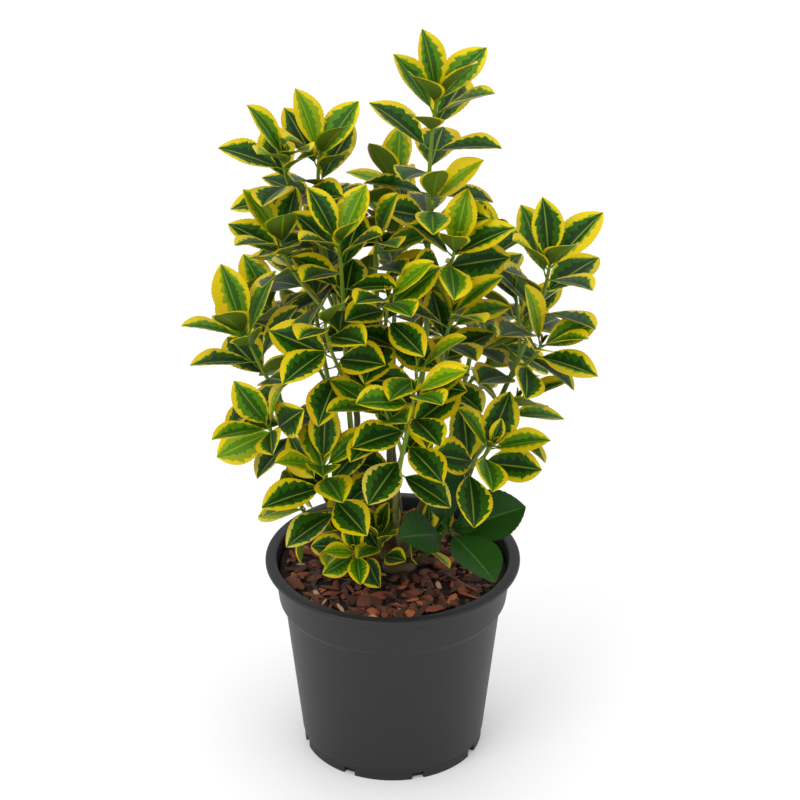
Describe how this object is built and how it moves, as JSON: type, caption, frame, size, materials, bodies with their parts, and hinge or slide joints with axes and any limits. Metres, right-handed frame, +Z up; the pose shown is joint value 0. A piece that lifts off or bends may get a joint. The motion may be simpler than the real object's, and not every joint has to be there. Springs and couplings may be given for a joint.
{
  "type": "potted variegated euonymus shrub",
  "caption": "Bushy evergreen shrub with opposite pairs of green leaves edged in yellow, standing in a round black plastic nursery pot topped with bark mulch.",
  "frame": {"origin": "centre of the pot's flat underside", "axes": "+Z up along the pot's axis, +X to the right in the picture, -Y toward the viewer"},
  "size_m": [0.2968, 0.2697, 0.56],
  "materials": {
    "pot": "moulded black plastic",
    "mulch": "loose bark chips",
    "stems": "smooth green-brown bark",
    "leaves": "glossy leaf, green edged in yellow",
    "plain_leaves": "glossy plain green leaf"
  },
  "bodies": {
    "root": {"pot": "pot", "soil": "mulch", "main_stem": "stems", "leader_bough": "stems", "upper_left_bough": "stems", "left_bough": "stems", "centre_left_bough": "stems", "centre_bough": "stems", "centre_right_bough": "stems", "right_bough": "stems", "lower_right_bough": "stems", "front_bough": "stems", "front_left_bough": "stems", "back_left_bough": "stems", "back_bough": "stems", "back_right_bough": "stems", "leader_foliage": "leaves", "upper_left_foliage": "leaves", "left_foliage": "leaves", "centre_left_foliage": "leaves", "centre_foliage": "leaves", "centre_right_foliage": "leaves", "right_foliage": "leaves", "lower_right_foliage": "leaves", "front_foliage": "leaves", "front_left_foliage": "leaves", "reverted_foliage": "plain_leaves", "basal_front_foliage": "leaves", "basal_left_foliage": "leaves", "back_left_foliage": "leaves", "back_foliage": "leaves", "back_right_foliage": "leaves"}
  },
  "joints": []
}
